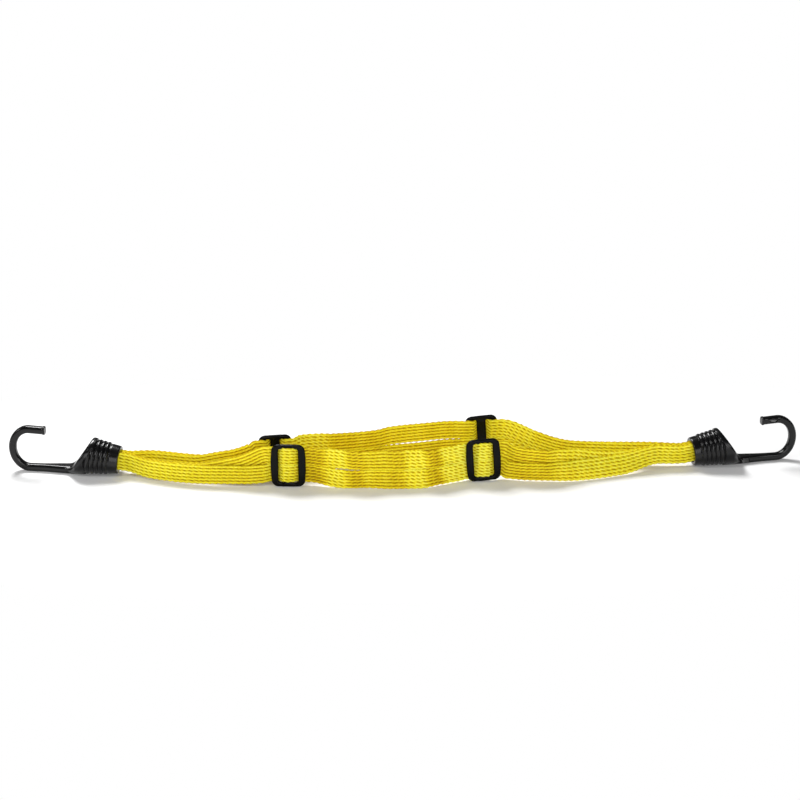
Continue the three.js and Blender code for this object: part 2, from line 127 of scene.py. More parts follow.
# The route of each pair in plan, as the solids have it but for small slack. A slide has its place and its
# yaw in degrees. On the way from a socket to a slide a point says how far the two straps have parted and
# how low they hang, and between the slides it says how far they gape.
PAIRS = {
    "front": {
        "outward": -1,
        "slides": {"left": (-88.5, -30, -4), "right": (57, -25, 4)},
        "runs": [
            [(-190, -13, 0.03, 3.2), (-160, -24, 0.08, 3), (-128, -27.5, 0.45, 2.6), (-107, -29, 1, 2.4)],
            [(-45, -34.5, 1.3), (8, -37.5, 0.3)],
            [(76, -24.5, 1, 3.8), (122, -27.5, 0.6, 4), (162, -18, 0.15, 3.5), (190, -8, 0.03, 0.5)],
        ],
    },
    "back": {
        "outward": 1,
        "slides": {"left": (-98.5, -9.5, 7), "right": (59.5, 25, 6)},
        "runs": [
            [(-190, -1, 0.02, 0.5), (-160, -9, 0.03, 1), (-134, -12, 0.46, 1.5), (-117, -12, 0.86, 2)],
            [(-40, 7, 0), (4, 19.5, 0.6)],
            [(79, 25.5, 1, 2.4), (100, 17, 0.4, 1), (130, 8, 0.1, 1.5), (188, 2, 0.03, 0.5)],
        ],
    },
}

# Waves in the slack elastic: place along the cord, how far it stands forward, its lean back in degrees, and
# its slack, which shows as stitches: about 1 where they are gathered and fall to the right, about -1 where
# they are gathered and rise, and 0 where the elastic is drawn flat. The slack also paints the elastic paler
# where it is above 0 and darker where it is below, a painted light and shade
RIPPLES = {
    "front": [
        (-212, 0, 0, 0.5), (-180, 0.4, 4, 0.5), (-158, 0, 6, 0.4), (-146, 0, 4, 0.1), (-110, 0.2, 2, 0),
        (-104, 0, 0, 0.3), (-98, 0, 0, 0.8), (-82, 0, 0, 0.4), (-76, 0, -2, -0.7), (-66, -0.5, -3, -0.8),
        (-57, -0.2, 4, 0.7), (-49, 0.8, 5, 0.9), (-41, 0.4, -2, -0.5), (-35, -0.3, -3, -0.6),
        (-29, -0.3, 3, 0.1), (-16, 0.3, 12, 0), (-10, 0.2, 10, -0.4), (-5, -0.1, 11, -0.3),
        (1, -0.1, 15, 0.8), (11, 0.6, 15, 0.9), (17, 0.2, 4, -0.5), (22, -0.6, 1, -0.7), (29, -0.2, 6, 1.1),
        (38, 1.2, 6, 1.2), (45, 0, 2, 1.1), (66, 0, 0, 0.8), (72, 0, 0, 0), (84, -0.3, -8, -0.3),
        (104, -0.5, -6, -0.2), (116, -0.3, 10, 0.3), (130, 0, 23, 0.7), (160, 0, 24, 0.6),
        (190, -2.5, 8, 0.5), (206, -0.5, 0, 0.5), (212, 0, 0, 0.5),
    ],
    "back": [
        (-212, 0, 0, 0.5), (-160, 0, 2, 0.3), (-146, -1, 0, 0.2), (-127, 1, -5, 0), (-112, 0, 0, 0),
        (-98, 0, 0, 0.2), (-85, 0, 0, 0.5), (-76, 0.6, 12, 0.9), (-62, 1.0, 10, 0.8), (-54, 0, 4, -0.2),
        (-20, 0.2, -2, -0.2), (-10, 0.4, 3, 0.2), (30, 0.2, 0, 0), (45, 0, 0, 0), (72, 0, 0, 0.6),
        (80, 0.4, 3, 0.8), (94, 0.6, 6, 0.7), (112, 0, 2, 0.1), (150, 0.2, 4, 0.3), (212, 0, 0, 0.5),
    ],
}
# How far each strap of a pair is pushed towards the other, or from it, from place to place along the cord
SEAM_LAP = {
    "front": [
        (-212, 0.2), (-64, 0.35), (-54, 0.1), (-38, 0.1), (-29, 0.6), (0, 0.5), (30, 0.35), (212, 0.25),
    ],
    "back": [(-212, 0.2), (-24, 0.3), (-12, -0.1), (0, -0.22), (40, -0.22), (46, 0.1), (212, 0.2)],
}
# How far a pair hangs below its line, from place to place along the cord
PAIR_DROP = {
    "front": [(-212, 0), (20, 0), (36, 1.8), (48, 1.8), (54, 0), (212, 0)],
    "back": [(-212, 0), (212, 0)],
}
SLIDE_ROLL = {"front_right": 3.5, "back_right": 3.5}  # degrees by which a slide hangs askew
# Where each hook's mouth is along the cord, and which way the hook points
HOOKS = {"left": (-MOUTH_SPAN / 2, math.pi - HOOK_YAW), "right": (MOUTH_SPAN / 2, HOOK_YAW)}

# The solids are centred on their box, so the route's own zero lies beside the frame's
slide_low, slide_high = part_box("front_left_slide")
ROUTE_SHIFT = Vector((0, (slide_low.y + slide_high.y) / 2 - PAIRS["front"]["slides"]["left"][1] * MM, 0))


def smoothstep(value, low, high):
    share = np.clip((value - low) / (high - low), 0, 1)
    return share * share * (3 - 2 * share)


def new_object(name, points, faces):
    """A smooth mesh object from points in millimetres, placed in the frame."""
    mesh = bpy.data.meshes.new(name)
    mesh.from_pydata((points * MM + np.array(ROUTE_SHIFT)).tolist(), [], faces)
    mesh.polygons.foreach_set("use_smooth", [True] * len(mesh.polygons))
    mesh.update()
    obj = bpy.data.objects.new(name, mesh)
    bpy.context.collection.objects.link(obj)
    return obj


# Material nodes

class Shader:
    """A node material with one Principled shader, built up link by link."""

    def __init__(self, name):
        self.material = bpy.data.materials.new(name)
        self.material.use_nodes = True
        self.tree = self.material.node_tree
        self.surface = self.tree.nodes["Principled BSDF"]

    def node(self, kind, inputs=None, **settings):
        made = self.tree.nodes.new(kind)
        for key, value in settings.items():
            setattr(made, key, value)
        for key, value in (inputs or {}).items():
            if isinstance(value, bpy.types.NodeSocket):
                self.tree.links.new(value, made.inputs[key])
            else:
                made.inputs[key].default_value = value
        return made

    def math(self, operation, a, b=0.0):
        return self.node("ShaderNodeMath", {0: a, 1: b}, operation=operation).outputs[0]

    def ramp(self, value, stops):
        made = self.node("ShaderNodeValToRGB", {"Fac": value})
        elements = made.color_ramp.elements
        while len(elements) < len(stops):
            elements.new(0.5)
        for element, (place, colour) in zip(elements, stops):
            element.position = place
            element.color = (*colour, 1)
        return made.outputs["Color"]

    def noise(self, coordinates, scale, detail=3.0):
        made = self.node("ShaderNodeTexNoise", {"Vector": coordinates, "Scale": scale, "Detail": detail})
        return made.outputs["Fac"]

    def set(self, **values):
        for key, value in values.items():
            socket = self.surface.inputs[key.replace("_", " ")]
            if isinstance(value, bpy.types.NodeSocket):
                self.tree.links.new(value, socket)
            else:
                socket.default_value = value

    def bump(self, height, strength, distance):
        made = self.node("ShaderNodeBump", {"Height": height, "Strength": strength, "Distance": distance})
        self.tree.links.new(made.outputs["Normal"], self.surface.inputs["Normal"])


NOISE_MIDDLE = 0.5
WEAR_SHARE = 0.3  # how far wide patches change the elastic's tone
GRIT_SHARE = 0.5  # and fine ones
FUZZ_SHARE = 0.8  # how far fuzz stands up from it, against its yarns
GLOSS_SPREAD = 0.18  # how far the plastic's roughness varies
STREAK_SPREAD = 0.25  # how far streaks roughen the steel
STEEL_ROUGHNESS = 0.2  # between its streaks


def elastic_material():
    """Braided yellow elastic: fine yarns in each stitch, random wear and grit, and painted light and shade:
    bright stitches with a painted sheen of pale lemon on their tops, painted shade of deeper gold between
    them, and zones painted paler or darker.
    """
    shader = Shader("yellow_elastic")
    # The weave attribute carries painted shade in the grooves and painted light and shade zone by zone
    weave = shader.node("ShaderNodeAttribute", attribute_name="weave").outputs["Fac"]
    cloth = shader.node("ShaderNodeUVMap", uv_map="cloth").outputs["UV"]
    wear = shader.math("SUBTRACT", shader.noise(cloth, scale=90.0), NOISE_MIDDLE)
    grit = shader.math("SUBTRACT", shader.noise(cloth, scale=700.0), NOISE_MIDDLE)
    worn = shader.math("MULTIPLY", wear, WEAR_SHARE)
    gritty = shader.math("MULTIPLY", grit, GRIT_SHARE)
    # Painted shade and light, with random wear and grit added on
    shade_and_wear = shader.math("ADD", weave, shader.math("ADD", worn, gritty))
    # Painted shade: the dark gold at the bottom of the ramp is for the grooves; painted sheen: the pale
    # lemon at its top is for the stitch tops
    colour = shader.ramp(shade_and_wear, [
        (0.0, (0.33, 0.19, 0.000)),
        (0.35, (0.62, 0.44, 0.001)),
        (0.7, (0.89, 0.77, 0.022)),
        (1.0, (0.98, 0.95, 0.130)),
    ])
    yarn = shader.node("ShaderNodeTexWave", {
        "Vector": cloth, "Scale": 520.0, "Distortion": 2.5, "Detail": 2.0, "Detail Scale": 2.0,
    }, bands_direction="DIAGONAL")
    fuzz = shader.noise(cloth, scale=2600.0)
    height = shader.math("ADD", yarn.outputs["Fac"], shader.math("MULTIPLY", fuzz, FUZZ_SHARE))
    shader.set(Base_Color=colour, Roughness=0.75, Sheen_Weight=0.04, Sheen_Roughness=0.45)
    shader.set(Subsurface_Weight=0.45, Subsurface_Radius=(1.0, 0.9, 0.08), Subsurface_Scale=0.0025)
    shader.surface.inputs["Sheen Tint"].default_value = (1.0, 0.86, 0.30, 1)
    shader.surface.inputs["Specular IOR Level"].default_value = 0.14
    shader.bump(height, strength=0.35, distance=0.00015)
    return shader.material


def plastic_material(name, roughness, shine):
    """Black moulded plastic: a fine grain, cloudy gloss and paler, rubbed edges."""
    shader = Shader(name)
    place = shader.node("ShaderNodeTexCoord").outputs["Object"]
    edge = shader.node("ShaderNodeNewGeometry").outputs["Pointiness"]
    rubbed = shader.ramp(edge, [(0.52, (0, 0, 0)), (0.60, (1, 1, 1))])
    cloud = shader.noise(place, scale=160.0)
    patch = shader.math("MULTIPLY", rubbed, shader.noise(place, scale=420.0))
    colour = shader.ramp(patch, [(0.0, (0.0025, 0.0025, 0.0028)), (1.0, (0.016, 0.016, 0.017))])
    clouded = shader.math("MULTIPLY", cloud, GLOSS_SPREAD)
    gloss = shader.math("ADD", clouded, roughness - GLOSS_SPREAD * NOISE_MIDDLE)
    grain = shader.noise(place, scale=2400.0, detail=2.0)
    shader.set(Base_Color=colour, Roughness=gloss)
    shader.surface.inputs["Specular IOR Level"].default_value = shine
    shader.bump(grain, strength=0.12, distance=0.0001)
    return shader.material


def steel_material():
    """Plated steel strip, drawn lengthwise and lightly tarnished."""
    shader = Shader("crimp_steel")
    place = shader.node("ShaderNodeTexCoord").outputs["Object"]
    drawn = shader.node("ShaderNodeMapping", {"Vector": place, "Scale": (40.0, 900.0, 900.0)})
    streak = shader.noise(drawn.outputs["Vector"], scale=3.0, detail=4.0)
    stain = shader.noise(place, scale=300.0)
    colour = shader.ramp(stain, [(0.3, (0.36, 0.35, 0.34)), (0.7, (0.56, 0.56, 0.57))])
    gloss = shader.math("ADD", shader.math("MULTIPLY", streak, STREAK_SPREAD), STEEL_ROUGHNESS)
    shader.set(Base_Color=colour, Roughness=gloss, Metallic=1.0)
    shader.bump(streak, strength=0.2, distance=0.0001)
    return shader.material


# Straps: centre lines

def heading(angle):
    return np.array([math.cos(angle), math.sin(angle), 0.0])


def left_of(direction):
    aside = np.array([-direction[1], direction[0], 0.0])
    return aside / np.linalg.norm(aside)


def socket_axis_height(depth):
    return RIB_HEIGHT + SOCKET_WALL + MOUTH_BORE + BORE_FLARE * depth / SOCKET_LENGTH


def socket_stations(side, outward):
    """Three stations of a pair in a socket, from its back out to the free strap."""
    x, angle = HOOKS[side]
    shift = left_of(heading(angle)) * outward * LAYER_PITCH * (-1 if x > 0 else 1)
    stations = []
    for depth in (STRAP_TUCK, 0, -STRAIGHT_EXIT):
        point = np.array([x, 0, socket_axis_height(depth)]) + heading(angle) * depth - shift
        stations.append((point, 0.0, 1.0, 0.0))
    return stations


def slide_stations(slide):
    x, y, yaw = slide
    along = heading(math.radians(yaw))
    centre = np.array([x, y, SLIDE_HEIGHT / 2])
    return [(centre + along * reach, 1.0, 0.0, 0.0) for reach in (-SLIDE_HALF, 0, SLIDE_HALF)]


def parting_stations(run):
    stations = []
    for x, y, parted, sag in run:
        seam = socket_axis_height(0) - sag + parted * PAIR_PITCH / 2
        stations.append((np.array([x, y, seam]), parted, 1.0, 0.0))
    return stations


def laid_stations(run):
    return [(np.array([x, y, LAID_HEIGHT + gape / 2]), 1.0, 0.0, gape) for x, y, gape in run]


def pair_stations(pair):
    left, right = pair["slides"].values()
    return [
        *socket_stations("left", pair["outward"]),
        *parting_stations(pair["runs"][0]),
        *slide_stations(left),
        *laid_stations(pair["runs"][1]),
        *slide_stations(right),
        *parting_stations(pair["runs"][2]),
        *socket_stations("right", pair["outward"])[::-1],
    ]


def curve_span(points, span, shares):
    """Points and tangents of a centripetal curve through the points, on one span."""
    ends = np.vstack([2 * points[0] - points[1], points, 2 * points[-1] - points[-2]])
    p0, p1, p2, p3 = ends[span:span + 4]
    d0, d1, d2 = (np.sqrt(np.linalg.norm(b - a)) for a, b in ((p0, p1), (p1, p2), (p2, p3)))
    m1 = ((p1 - p0) / d0 - (p2 - p0) / (d0 + d1) + (p2 - p1) / d1) * d1
    m2 = ((p2 - p1) / d1 - (p3 - p1) / (d1 + d2) + (p3 - p2) / d2) * d1
    t = shares[:, None]
    c2 = -3 * p1 + 3 * p2 - 2 * m1 - m2
    c3 = 2 * p1 - 2 * p2 + m1 + m2
    return p1 + m1 * t + c2 * t**2 + c3 * t**3, m1 + 2 * c2 * t + 3 * c3 * t**2


CREST_FLAT = 2.2  # how far to each side a strap lies flat on the middle bar


def weave_offset(distance):
    """How far a strap stands off its line in a slide: over the middle bar and under the side bars."""
    reach = np.abs(distance)
    drop = smoothstep(reach, CREST_FLAT, WINDOW_LENGTH / 2 + STRAP_THICKNESS / 2)
    ease = smoothstep(reach, SLIDE_HALF, SLIDE_HALF + WEAVE_EASE)
    return WEAVE_CREST * (1 - drop) - WEAVE_TROUGH * drop * (1 - ease)


def between(values, lengths, span, shares):
    """A smooth value between stations that never passes beyond the two beside it."""
    rise = np.diff(values) / lengths
    before, after = np.append(rise[0], rise), np.append(rise, rise[-1])
    rising = before * after > 0
    slope = np.where(rising, 2 * before * after / np.where(rising, before + after, 1), 0)
    rest = 1 - shares
    ends = values[span] * (1 + 2 * shares) * rest**2 + values[span + 1] * (1 + 2 * rest) * shares**2
    return ends + lengths[span] * (slope[span] * shares * rest**2 - slope[span + 1] * rest * shares**2)


FINE_STEP = 0.5  # the most between the rings of a strap
LEAST_STEPS = 4  # on a span between two stations


def strap_line(pair, level):
    """The centre line of one strap, at even steps. level is -1 for a lower strap and 1 for an upper one."""
    stations = pair_stations(pair)
    points = np.array([station[0] for station in stations])
    parted, staggered, gape = (np.array([station[k] for station in stations]) for k in (1, 2, 3))
    heights = points[:, 2] + level * (parted * PAIR_PITCH + gape) / 2
    layers = -level * pair["outward"] * staggered * LAYER_PITCH / 2
    lengths = np.linalg.norm(np.diff(points, axis=0), axis=1)
    pieces = []
    for span, length in enumerate(lengths):
        steps = max(LEAST_STEPS, math.ceil(length / FINE_STEP))
        shares = np.linspace(0, 1, steps + 1)[0 if span == 0 else 1:]
        line, tangent = curve_span(points, span, shares)
        aside = np.stack([-tangent[:, 1], tangent[:, 0], np.zeros(len(shares))], axis=1)
        aside /= np.linalg.norm(aside, axis=1)[:, None]
        line += aside * between(layers, lengths, span, shares)[:, None]
        line[:, 2] = between(heights, lengths, span, shares)
        pieces.append(line)
    line = np.concatenate(pieces)
    for x, y, yaw in pair["slides"].values():
        along = heading(math.radians(yaw))
        distance = (line[:, 0] - x) * along[0] + (line[:, 1] - y) * along[1]
        near = np.abs(distance) < SLIDE_HALF + WEAVE_EASE
        line[near] += left_of(along) * (pair["outward"] * weave_offset(distance[near]))[:, None]
    run = np.concatenate([[0], np.cumsum(np.linalg.norm(np.diff(line, axis=0), axis=1))])
    even = np.linspace(0, run[-1], math.ceil(run[-1] / FINE_STEP) + 1)
    return np.stack([np.interp(even, run, line[:, k]) for k in range(3)], axis=1), even


# Straps: braided surface

STRAP_RIBS = 6
RIB_SAMPLES = 8
WEAVE_DEPTH = 0.55
STITCH_PITCH = 4.4
DASH_DEPTH = 1.5  # of the pits between stitches, against the grooves between ribs
LEAST_GATHER = 0.3  # how far even drawn elastic shows its stitches
GROOVE_SHARPNESS = 0.7  # below 1 the grooves are narrow and the yarns between them full
WANDER = 0.5  # how far the stitches stray from even rows
WANDER_WAVES = [(2.9, 2 * STRAP_RIBS), (4.7, -5)]  # length of a radian along, and radians across the strap
GROOVE_SHADE = -0.12  # painted shade of the deepest groove
SHADE_SPREAD = 0.86  # from there up to the painted sheen on the top of a stitch
ZONE_LIGHT_AND_SHADE = 0.22  # painted light and shade by zone: how much paler the elastic is painted where its slack is 1, and darker where it is -1
EDGE_SCALLOP = 0.2  # how far the edges wave with the stitches
SCALLOP_POWER = 6  # a higher one keeps the scallops nearer the edges
EDGE_POWER = 14  # a higher one makes the edges squarer
LEAST_DEPTH = 0.05  # from the middle of a strap to its face
LEAST_HEIGHT = 0.05  # above the route's floor
SEAM_COVER = 0.4  # how far the two straps of a pair overlap before they are pushed
SHOWN_WIDTH = PAIR_PITCH + SEAM_COVER
SLIDE_PINCH = {"front": 0.07, "back": 0.04}  # share of its height that a pair loses in a slide
PINCH_FULL = 1  # from the window's end inward to where the pinch is full
PINCH_FADE = 2  # and outward to where it has faded
CREST_RELIEF = 0.03  # share that it gets back over the middle bar
CREST_RAISE = 1.2  # how far it rides up there
FOLD_SLANT = 0.2  # how far the folds lean along the cord as they rise
PAIR_FOOT = 2  # height that a leaning pair turns about


def ripple(waves, x):
    """How far a strap stands forward at a place along the cord, the tangent of its lean, and its slack."""
    places, forward, lean, slack = np.array(waves, float).T
    at = np.clip(np.searchsorted(places, x) - 1, 0, len(places) - 2)
    share = smoothstep(x, places[at], places[at + 1])
    ahead, tilt, loose = (part[at] + (part[at + 1] - part[at]) * share for part in (forward, lean, slack))
    return ahead, np.tan(np.radians(tilt)), loose


def braid(across, along, slack):
    """Relief of the weave, up to 1: ribs where it is drawn flat, slanted stitches where it is gathered."""
    place = across * STRAP_RIBS
    strayed = along
    for length, skew in WANDER_WAVES:
        strayed = strayed + WANDER * np.sin(along / length + skew * across)
    slant = np.where(slack > 0, place, -place)
    phases = (place, strayed / STITCH_PITCH + slant)
    rib, stitch = (1 - np.abs(np.sin(np.pi * phase)) ** GROOVE_SHARPNESS for phase in phases)
    dash = np.clip(DASH_DEPTH * np.sqrt(rib * stitch), 0, 1)
    gathered = LEAST_GATHER + (1 - LEAST_GATHER) * np.abs(slack)
    return 1 - dash * gathered - rib * (1 - gathered)


def pinch(pair_name, x):
    """The share of its height that a pair keeps at a place along the cord, and how far it rides up."""
    kept, raised = np.ones(len(x)), np.zeros(len(x))
    for slide_x, _, _ in PAIRS[pair_name]["slides"].values():
        reach = np.abs(x - slide_x)
        fade = smoothstep(reach, WINDOW_LENGTH / 2 - PINCH_FULL, WINDOW_LENGTH / 2 + PINCH_FADE)
        kept -= SLIDE_PINCH[pair_name] * (1 - fade)
        crest = 1 - smoothstep(reach, CENTRE_BAR_WIDTH / 2, WINDOW_LENGTH / 2)
        kept += CREST_RELIEF * crest
        raised += CREST_RAISE * crest
    return kept[:, None], raised[:, None]


def strap_grid(line, run, pair_name, level):
    """Rings of points round a ribbed strap, with the painted shade and light of the weave at each point and
    their place on the cloth.
    """
    tangent = np.gradient(line, axis=0)
    tangent /= np.linalg.norm(tangent, axis=1)[:, None]
    facing = np.cross(np.array([0, 0, 1.0]), tangent)
    facing /= np.linalg.norm(facing, axis=1)[:, None]
    upward = np.cross(tangent, facing)
    kept, raised = pinch(pair_name, line[:, 0])
    lap = level * np.interp(line[:, :1], *np.array(SEAM_LAP[pair_name], float).T)
    drop = np.interp(line[:, :1], *np.array(PAIR_DROP[pair_name], float).T)
    share = np.linspace(0, 1, STRAP_RIBS * RIB_SAMPLES + 1)
    rings, painted_shades, cloth = [], [], []
    for face, across in ((1, share[:-1]), (-1, share[::-1][:-1])):
        a, v = np.meshgrid(across, run)
        wide = 2 * a - 1
        near_edge = np.abs(wide) ** SCALLOP_POWER * np.sign(wide)
        scallop = EDGE_SCALLOP * near_edge * np.sin(2 * np.pi * v / STITCH_PITCH)
        lift = wide * SHOWN_WIDTH / 2 + scallop - lap
        ahead, lean, slack = ripple(RIPPLES[pair_name], line[:, :1] + FOLD_SLANT * lift)
        relief = braid(a, v, slack)
        body = np.sqrt(1 - np.abs(wide) ** EDGE_POWER) * STRAP_THICKNESS / 2
        depth = face * np.clip(body - WEAVE_DEPTH * (1 - relief), LEAST_DEPTH, None)
        points = line[:, None] + upward[:, None] * lift[..., None]
        height = SLIDE_HEIGHT / 2 + (points[..., 2] - SLIDE_HEIGHT / 2) * kept + raised - drop
        points[..., 2] = np.maximum(height, LEAST_HEIGHT)
        depth += (points[..., 2] - PAIR_FOOT) * lean - ahead
        rings.append(points + facing[:, None] * depth[..., None])
        # Painted shade and light: darker in the grooves, paler on the stitch tops, and paler or darker zone
        # by zone with the slack
        painted_shades.append(GROOVE_SHADE + SHADE_SPREAD * relief + ZONE_LIGHT_AND_SHADE * slack)
        cloth.append(np.stack([a * STRAP_WIDTH * MM + (face < 0) * STRAP_WIDTH * MM, v * MM], axis=2))
    return tuple(np.concatenate(part, axis=1) for part in (rings, painted_shades, cloth))


def strap_piece(name, grid, first, last, capped_start, capped_end):
    """One stretch of a strap between two of its rings."""
    rings, painted_shades, cloth = (part[first:last + 1] for part in grid)
    rows, sides = painted_shades.shape
    row, side = np.meshgrid(np.arange(rows - 1), np.arange(sides), indexing="ij")
    ahead = (side + 1) % sides
    quads = np.stack([row * sides + side, row * sides + ahead,
                      (row + 1) * sides + ahead, (row + 1) * sides + side], axis=2).reshape(-1, 4)
    faces = quads.tolist()
    half = sides // 2
    ends = [(0, -1)] * capped_start + [((rows - 1) * sides, 1)] * capped_end
    for base, way in ends:
        for k in range(half):
            cap = [base + k, base + k + 1, base + (sides - k - 1) % sides, base + (sides - k) % sides]
            cap = list(dict.fromkeys(cap))
            faces.append(cap if way > 0 else cap[::-1])
    obj = new_object(name, rings.reshape(-1, 3), faces)
    mesh = obj.data
    # The weave attribute carries the painted shade and light that colour the elastic
    weave = mesh.attributes.new("weave", "FLOAT", "POINT")
    weave.data.foreach_set("value", painted_shades.reshape(-1).astype(np.float32))
    layer = mesh.uv_layers.new(name="cloth")
    corner = np.empty(len(mesh.loops), dtype=np.int32)
    mesh.loops.foreach_get("vertex_index", corner)
    layer.data.foreach_set("uv", cloth.reshape(-1, 2)[corner].reshape(-1).astype(np.float32))
    mesh.update()
    mesh.materials.append(ELASTIC)
    return obj


END_GRIP = 212  # the outer ends of the first and last stretches
SLIDE_GRIP = 2  # from a slide's edge to the stretch beside it
SLIDE_GIVE = 36  # the length of the stretch beside a slide
ZONE_GAP = 1  # from there to the stretch by a hook


def make_strap(pair_name, pair, level):
    """One strap in six pieces, cut midway between the listed stretches, each of which lies between two
    bodies.
    """
    name = f"{pair_name}_{'upper' if level > 0 else 'lower'}_strap"
    line, run = strap_line(pair, level)
    stitches = run + (level > 0) * STITCH_PITCH / 2
    grid = strap_grid(line, stitches, pair_name, level)
    left, right = (slide[0] for slide in pair["slides"].values())
    grip = SLIDE_LENGTH / 2 + SIDE_BULGE + SLIDE_GRIP
    bodies = {side: f"{pair_name}_{side}_slide_body" for side in ("left", "right")}
    zones = [
        ("left_end", "straps", -END_GRIP, left - grip - SLIDE_GIVE - ZONE_GAP),
        ("straps", bodies["left"], left - grip - SLIDE_GIVE, left - grip),
        (bodies["left"], "straps", left + grip, left + grip + SLIDE_GIVE),
        ("straps", bodies["right"], right - grip - SLIDE_GIVE, right - grip),
        (bodies["right"], "straps", right + grip, right + grip + SLIDE_GIVE),
        ("straps", "right_end", right + grip + SLIDE_GIVE + ZONE_GAP, END_GRIP),
    ]
    borders = [(before[3] + after[2]) / 2 for before, after in zip(zones, zones[1:])]
    cuts = [0, *(int(np.argmin(np.abs(line[:, 0] - x))) for x in borders), len(line) - 1]
    for k, (body_a, body_b, start, end) in enumerate(zones):
        piece = strap_piece(f"{name}_{k + 1}", grid, cuts[k], cuts[k + 1], k == 0, k == len(zones) - 1)
        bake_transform(piece)
        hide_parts(name)


# Moulded pieces: a surface drawn through a field of distances

def surface_net(field, low, step):
    """Quads on the zero level of a field that is negative inside, with outward faces."""
    inside = field < 0
    corners = np.array([(i, j, k) for i in (0, 1) for j in (0, 1) for k in (0, 1)])
    size = np.array(field.shape) - 1
    count = sum(inside[i:i + size[0], j:j + size[1], k:k + size[2]].astype(int) for i, j, k in corners)
    cells = np.argwhere((count > 0) & (count < 8))
    total = np.zeros((len(cells), 3))
    crossings = np.zeros(len(cells))
    for a in corners:
        for axis in range(3):
            if a[axis]:
                continue
            b = a.copy()
            b[axis] = 1
            value_a, value_b = (field[tuple((cells + c).T)] for c in (a, b))
            crossed = (value_a < 0) != (value_b < 0)
            share = value_a[crossed] / (value_a[crossed] - value_b[crossed])
            total[crossed] += a + share[:, None] * (b - a)
            crossings[crossed] += 1
    points = low + step * (cells + total / crossings[:, None])
    ids = np.full(size, -1)
    ids[tuple(cells.T)] = np.arange(len(cells))
    faces = []
    for axis in range(3):
        along = np.eye(3, dtype=int)[axis]
        u, v = np.eye(3, dtype=int)[(axis + 1) % 3], np.eye(3, dtype=int)[(axis + 2) % 3]
        near = inside[tuple(slice(None, -1) if k == axis else slice(1, -1) for k in range(3))]
        far = inside[tuple(slice(1, None) if k == axis else slice(1, -1) for k in range(3))]
        at = np.argwhere(near != far) + (1 - along)
        quads = np.stack([ids[tuple((at + c).T)] for c in (-u - v, -v, 0 * u, -u)], axis=1)
        leaving = inside[tuple(at.T)]
        faces.append(np.where(leaving[:, None], quads, quads[:, ::-1]))
    return points, np.concatenate(faces).tolist()


def grid_axes(low, high, step):
    axes = [np.arange(a, b + step, step) for a, b in zip(low, high)]
    return np.meshgrid(*axes, indexing="ij")


def soft_min(a, b, blend):
    """The nearer of two distances, with a fillet of about the given size between them."""
    mix = np.clip(0.5 + 0.5 * (b - a) / blend, 0, 1)
    return b + (a - b) * mix - blend * mix * (1 - mix)


def soft_max(a, b, blend):
    return -soft_min(-a, -b, blend)


def rounded_box(offsets, rounding):
    """Distance to a box with round edges, from the distances to its faces along each axis."""
    inner = [offset + rounding for offset in offsets]
    outside = np.sqrt(sum(np.maximum(offset, 0) ** 2 for offset in inner))
    return outside + np.minimum(np.maximum.reduce(inner), 0) - rounding


CURL_LIFT = 1.2  # how much higher the moulding's curl stands than the solid's
TIP_EXTRA = 1  # and how much longer its tip is
SHOWN_TIP = TIP_LENGTH + TIP_EXTRA
TIP_DROOP = 0.7
ROD_ROOT = 8  # how far the rod reaches back into the socket's foot
CURL_STEPS = 90


def rod_path(x, z):
    """Distance in the hook's plane to its rod's middle, where the curl begins, and the tip's height."""
    wide = CURL_DEPTH + ROD_HEIGHT / 2
    tall = (CURL_GAP + CURL_LIFT + ROD_HEIGHT) / 2
    centre_x = SOCKET_LENGTH + SHANK_LENGTH
    centre_z = ROD_HEIGHT / 2 + tall
    turn = np.linspace(0, math.pi, CURL_STEPS)
    path_x = [SOCKET_LENGTH - ROD_ROOT, *(centre_x + wide * np.sin(turn)), centre_x - SHOWN_TIP]
    path_z = [ROD_HEIGHT / 2, *(centre_z - tall * np.cos(turn)), centre_z + tall - TIP_DROOP]
    nearest = np.full(x.shape, np.inf)
    for ax, az, bx, bz in zip(path_x, path_z, path_x[1:], path_z[1:]):
        dx, dz = bx - ax, bz - az
        share = np.clip(((x - ax) * dx + (z - az) * dz) / (dx * dx + dz * dz), 0, 1)
        nearest = np.minimum(nearest, np.hypot(x - ax - share * dx, z - az - share * dz))
    return nearest, centre_x, centre_z + tall


NECK_FLARE = 2.2  # how far each side of the rod widens towards the socket
NECK_LENGTH = 28
KNOB_EDGE = 0.3  # half the run in which the knob swells
TIP_ROUND = 0.8
FACE_SLOPE = 0.5  # lean of the oval's floor and of the pad, against their height
OVAL_PLACE = 9  # from the tip's end
OVAL_DROP = 0.2  # below the middle of the tip's arm
OVAL_HALF_LENGTH = 4.2
OVAL_HALF_HEIGHT = 1.5
OVAL_DEPTH = 0.5
RIM_HALF = 0.4  # half the width of the raised rim round the oval, and how far it stands out
RIM_ROUND = 0.3
RIM_BLEND = 0.2
PAD_PLACE = 9  # from the socket's foot
PAD_HALF_LENGTH = 3.2
PAD_HALF_HEIGHT = 1.6
PAD_RISE = 0.6
PAD_ROUND = 0.25
PAD_BLEND = 0.15


